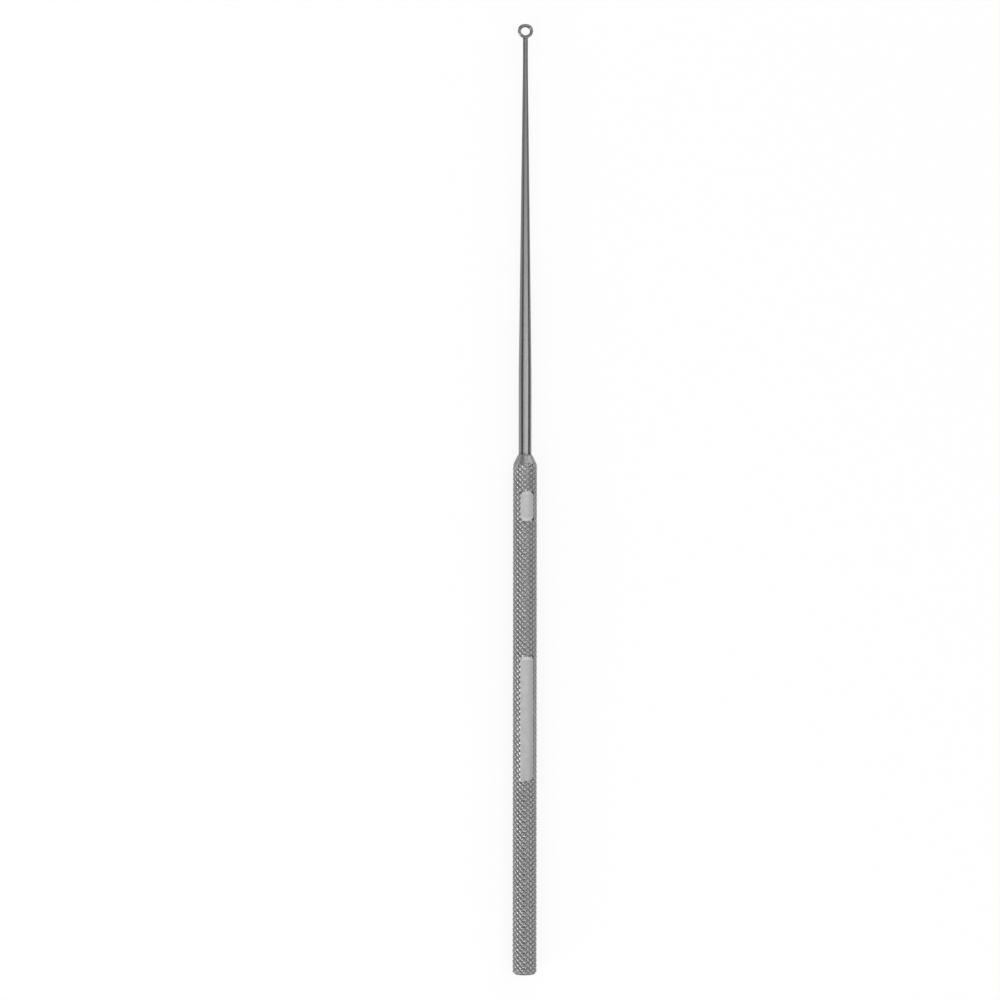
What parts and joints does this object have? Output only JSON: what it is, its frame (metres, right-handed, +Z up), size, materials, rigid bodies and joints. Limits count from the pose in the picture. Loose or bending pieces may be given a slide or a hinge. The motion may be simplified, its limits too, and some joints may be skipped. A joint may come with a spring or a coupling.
{
  "type": "ear curette",
  "caption": "Straight hand curette with a small open ring on a long tapered shaft and a round diamond-knurled handle with two marking flats.",
  "frame": {"origin": "on the surface that the tool lies on, under the middle of its length", "axes": "+Y along the tool from the handle's butt end to the ring, +Z up through the two milled flats, +X across"},
  "size_m": [0.0042, 0.165, 0.0042],
  "materials": {
    "handle_steel": "satin, knurled",
    "shaft_steel": "ground and polished along its length",
    "ring_steel": "polished",
    "braze": "dull silver braze"
  },
  "bodies": {
    "root": {"handle": "handle_steel", "shaft": "shaft_steel", "handle_braze": "braze", "ring_braze": "braze", "curette_ring": "ring_steel"}
  },
  "joints": []
}
